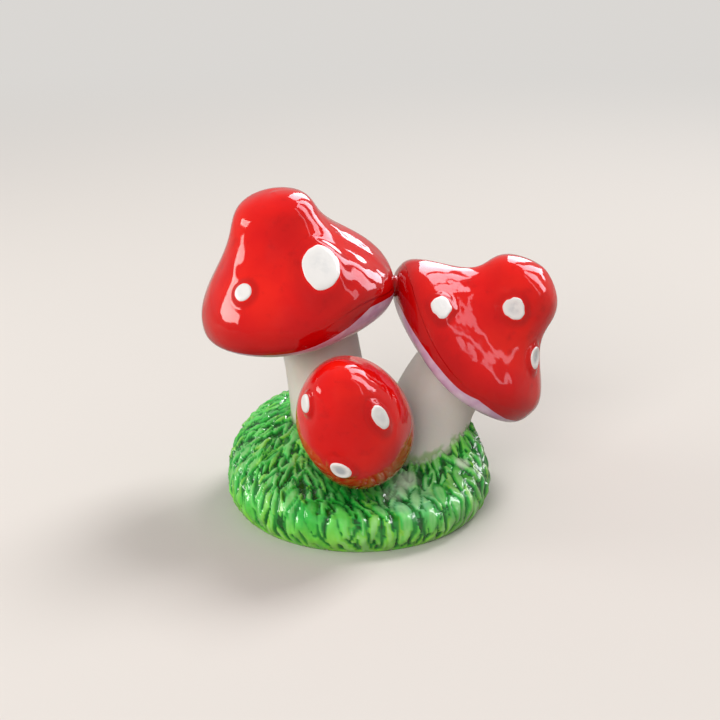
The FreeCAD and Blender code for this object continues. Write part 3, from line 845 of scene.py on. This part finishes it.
def grass_glaze():
    """Greens laid over each other: the blades' own, then yellow, mint, pale crests that are partly
    a painted highlight, painted olive shade, dull patches, painted shadow under the front cap, the
    deep greens of the hollows, and the whitish puddles with one painted highlight last."""
    material, nodes, links, shader = new_material("green_grass_glaze")
    coordinates = nodes.new("ShaderNodeTexCoord").outputs["Object"]
    cloud = noise_node(nodes, links, coordinates, 110.0, 3.0)
    patch = noise_node(nodes, links, coordinates, 45.0, 2.0)
    fine = noise_node(nodes, links, coordinates, 480.0, 3.0)
    blade = attribute_node(nodes, "blade")
    beside_stalk = attribute_node(nodes, "beside_stalk")

    def ranged(source, *limits):
        return map_range(nodes, links, source, *limits)

    def both(first, second):
        return times(nodes, links, first, second)

    def over(share, green, colour):
        return mix_colours(nodes, links, share, green, colour)

    green = over(ranged(cloud, 0.35, 0.65), GRASS_GREEN, GRASS_BRIGHT)
    tone = attribute_node(nodes, "tone")
    yellow = both(ranged(tone, 0.55, 0.95), ranged(patch, 0.3, 0.6, 0.2, 1.0))
    green = over(yellow, green, GRASS_YELLOW)
    foot = both(ranged(attribute_node(nodes, "above_foot"), 1.5, 11.0, 0.9, 0.0),
                ranged(cloud, 0.3, 0.55, 0.3, 1.0))
    green = over(foot, green, GRASS_YELLOW)
    mint = ranged(attribute_node(nodes, "mint"), 0.1, 0.6, 0.0, 0.75)
    green = over(mint, green, GRASS_MINT)
    near_stalk = both(ranged(beside_stalk, 0.5, 4.0, 0.7, 0.0), cloud)
    green = over(near_stalk, green, GRASS_YELLOW)
    # Pale on the crests: thin glaze on the ridges, and a painted highlight along them
    pale = both(ranged(blade, 0.75, 1.0, 0.0, 0.6), ranged(patch, 0.35, 0.6))
    green = over(pale, green, GRASS_PALE_AND_HIGHLIGHT)
    # Painted shade in the hollow beside the front cap's left side
    olive_shade = both(ranged(attribute_node(nodes, "shade"), 0.15, 0.8, 0.0, 0.7),
                 ranged(fine, 0.35, 0.6))
    green = over(olive_shade, green, GRASS_OLIVE_SHADE)
    dull = both(ranged(patch, 0.5, 0.7, 0.0, 0.6), ranged(cloud, 0.4, 0.6))
    green = over(dull, green, GRASS_DEEP)
    # Painted shadow under the front cap, in deep green
    under_cap_shadow = ranged(attribute_node(nodes, "under_cap_shadow"), 0.1, 0.6, 0.0, 0.75)
    green = over(under_cap_shadow, green, GRASS_DEEP)
    green = over(ranged(blade, 0.3, 0.8, 0.95, 0.0), green, GRASS_DEEP)
    green = over(ranged(blade, 0.0, 0.3, 1.0, 0.0), green, GRASS_POOL)
    # Whitish glaze puddles, and one painted highlight on the right
    puddle_and_highlight = both(ranged(attribute_node(nodes, "puddle_and_highlight"), 0.1, 0.6),
                  ranged(cloud, 0.35, 0.55, 0.3, 0.85))
    green = over(puddle_and_highlight, green, PUDDLE_AND_HIGHLIGHT_PALE)
    slip = both(ranged(beside_stalk, 0.0, 0.9, 0.6, 0.0), ranged(fine, 0.35, 0.55, 0.2, 1.0))
    green = over(slip, green, STALK_WHITE)
    links.new(green, shader.inputs["Base Color"])
    shader.inputs["Roughness"].default_value = 0.12
    shader.inputs["IOR"].default_value = 1.5
    shader.inputs["Coat Weight"].default_value = 0.6
    shader.inputs["Coat Roughness"].default_value = 0.05
    swell = noise_node(nodes, links, coordinates, 260.0, 2.0)
    normal = bump_node(nodes, links, swell, 0.0004)
    links.new(bump_node(nodes, links, fine, 0.00008, before=normal), shader.inputs["Normal"])
    return material


# Foot ring: how far each inner edge is pushed up, in metres, and how far it is drawn in
FOOT_STEPS = [(0.0, 0.86), (0.001, 1.0), (0.0, 0.125), (0.004, 1.0)]


def shape_foot(piece):
    """The foot ring: the flat under the mound is inset and pushed up, then opened to the vent."""
    bpy.ops.object.select_all(action="DESELECT")
    piece.select_set(True)
    bpy.context.view_layer.objects.active = piece
    polygons = piece.data.polygons
    sides = np.empty(len(polygons), dtype=np.int32)
    polygons.foreach_get("loop_total", sides)
    polygons.foreach_set("select", sides > 4)
    piece.data.update()
    bpy.ops.object.mode_set(mode="EDIT")
    bpy.ops.mesh.select_mode(type="FACE")
    for lift, spread in FOOT_STEPS:
        bpy.ops.mesh.extrude_region_move(TRANSFORM_OT_translate={"value": (0.0, 0.0, lift)})
        bpy.ops.transform.resize(value=(spread, spread, 1.0), center_override=(0.0, 0.0, 0.0))
    bpy.ops.object.mode_set(mode="OBJECT")


mound = make_mound()
shape_foot(mound)
mound.data.materials.append(grass_glaze())
mound_points = read_points(mound)[::3] / MM
for which, tube in tubes.items():
    heights = []
    for point in read_points(tube) / MM:
        apart = np.linalg.norm(mound_points[:, :2] - point[:2], axis=1)
        heights.append(point[2] - mound_points[np.argmin(apart), 2])
    write_attribute(tube, "above_grass", heights)
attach(mound, "root")
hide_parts("grass_mound")

# Rim lute
# A lump of slip pressed in where the two large rims touch, painted red with them.
LUTE_PLACE = (10.6, 8.3, 65.6)
LUTE_RADIUS = 3.2
bpy.ops.object.select_all(action="DESELECT")
bpy.ops.mesh.primitive_uv_sphere_add(segments=40, ring_count=24, radius=LUTE_RADIUS * MM)
lute = bpy.context.object
lute.name = "rim_lute_lump"
bpy.ops.object.mode_set(mode="EDIT")
bpy.ops.transform.resize(value=(0.8, 1.1, 1.0))
bpy.ops.transform.translate(value=tuple(value * MM for value in LUTE_PLACE))
bpy.ops.object.mode_set(mode="OBJECT")
bpy.ops.object.shade_smooth()
# A down_share of 0.6 gives the lump the caps' full painted lower shade, so it sits dark red between
# the rims
for attribute_name, value in (("below_paint", -1.0), ("spot_reach", FAR_FROM_SPOTS),
                              ("down_share", 0.6), ("wrinkles", 1.0)):
    write_attribute(lute, attribute_name, np.full(len(lute.data.vertices), value))
lute.data.materials.append(red_glaze)
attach(lute, "root")
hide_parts("rim_lute")

# Floor and lights
# A plain pale table that fades into an even pale room. A broad key from high on the right and
# behind and a fill from the front throw the light. A small box on the left and a row of four
# windows on the right make the shines.
FLOOR_SIZE = 6.0
FLOOR_PALE = (0.70, 0.675, 0.645)
FLOOR_BOUNCE = (0.34, 0.31, 0.28)
ROOM_PALE = (0.70, 0.68, 0.655)
ROOM_LIGHT = (0.40, 0.39, 0.38)
SHINE_SHARE = 0.3
FADE_FROM = 0.25
FADE_TO = 1.0
LAMP_TARGET = (0.0, 0.0, 0.05)
# Windows: x, y, width and watts, all at one height and as tall as each other
WINDOWS = [(0.24, 0.84, 0.30, 7.0), (0.62, 0.62, 0.30, 7.0), (0.86, 0.24, 0.30, 7.0),
           (0.87, -0.20, 0.08, 0.8)]
WINDOW_RAISED = 0.66
WINDOW_HEIGHT = 0.90
WINDOW_COLOUR = (0.96, 0.89, 1.0)

bpy.ops.mesh.primitive_plane_add(size=FLOOR_SIZE)
floor = bpy.context.object
floor.name = "floor"


def seen_share(nodes, links):
    """1 for what the camera sees, less for what a shine shows, and 0 for the light on things."""
    path = nodes.new("ShaderNodeLightPath")
    either = nodes.new("ShaderNodeMath")
    either.operation = "MULTIPLY_ADD"
    either.inputs[1].default_value = SHINE_SHARE
    links.new(path.outputs["Is Glossy Ray"], either.inputs[0])
    links.new(path.outputs["Is Camera Ray"], either.inputs[2])
    any_way = nodes.new("ShaderNodeMath")
    any_way.operation = "ADD"
    any_way.use_clamp = True
    links.new(either.outputs[0], any_way.inputs[0])
    links.new(path.outputs["Is Transmission Ray"], any_way.inputs[1])
    return any_way.outputs[0]


floor_material, nodes, links, shader = new_material("floor")
seen = seen_share(nodes, links)
links.new(mix_colours(nodes, links, seen, FLOOR_BOUNCE, FLOOR_PALE), shader.inputs["Base Color"])
shader.inputs["Roughness"].default_value = 1.0
shader.inputs["Specular IOR Level"].default_value = 0.0
coordinates = nodes.new("ShaderNodeTexCoord").outputs["Object"]
distance = nodes.new("ShaderNodeVectorMath")
distance.operation = "LENGTH"
links.new(coordinates, distance.inputs[0])
faded = map_range(nodes, links, distance.outputs["Value"], FADE_FROM, FADE_TO)
haze = nodes.new("ShaderNodeEmission")
haze.inputs["Color"].default_value = (*ROOM_PALE, 1.0)
fade = nodes.new("ShaderNodeMixShader")
links.new(times(nodes, links, faded, seen), fade.inputs["Fac"])
links.new(shader.outputs["BSDF"], fade.inputs[1])
links.new(haze.outputs["Emission"], fade.inputs[2])
links.new(fade.outputs["Shader"], nodes["Material Output"].inputs["Surface"])
floor.data.materials.append(floor_material)


def area_light(name, place, target, width, height, watts, colour, lights=True, shines=True):
    """A soft lamp, which can be left out of the light that it throws or of the shines."""
    data = bpy.data.lights.new(name, "AREA")
    data.shape = "RECTANGLE"
    data.size = width
    data.size_y = height
    data.energy = watts
    data.color = colour
    light = bpy.data.objects.new(name, data)
    light.location = place
    direction = Vector(target) - Vector(place)
    light.rotation_euler = direction.to_track_quat("-Z", "Y").to_euler()
    light.visible_diffuse = lights
    light.visible_glossy = shines
    bpy.context.scene.collection.objects.link(light)


area_light("left_box", (-0.62, -0.02, 0.20), (-0.01, 0.0, 0.055), width=0.30, height=0.13,
           watts=1.2, colour=(1.0, 0.97, 0.93))
area_light("key_light", (0.75, 0.72, 1.45), LAMP_TARGET, width=0.70, height=0.70, watts=20.0,
           colour=(1.0, 0.97, 0.96), shines=False)
area_light("front_fill", (-0.55, -1.45, 0.85), LAMP_TARGET, width=0.90, height=0.90, watts=16.0,
           colour=(1.0, 0.96, 0.93), shines=False)
for number, (x, y, width, watts) in enumerate(WINDOWS):
    area_light(f"window_{number}", (x, y, WINDOW_RAISED), LAMP_TARGET, width, WINDOW_HEIGHT, watts,
               WINDOW_COLOUR, lights=False)

# The room looks paler than the light that it gives, so the reds stay deep
world = bpy.data.worlds.new("room")
bpy.context.scene.world = world
world.use_nodes = True
nodes = world.node_tree.nodes
links = world.node_tree.links
background = nodes["Background"]
links.new(mix_colours(nodes, links, seen_share(nodes, links), ROOM_LIGHT, ROOM_PALE),
          background.inputs["Color"])

bpy.context.scene.view_settings.view_transform = "Standard"
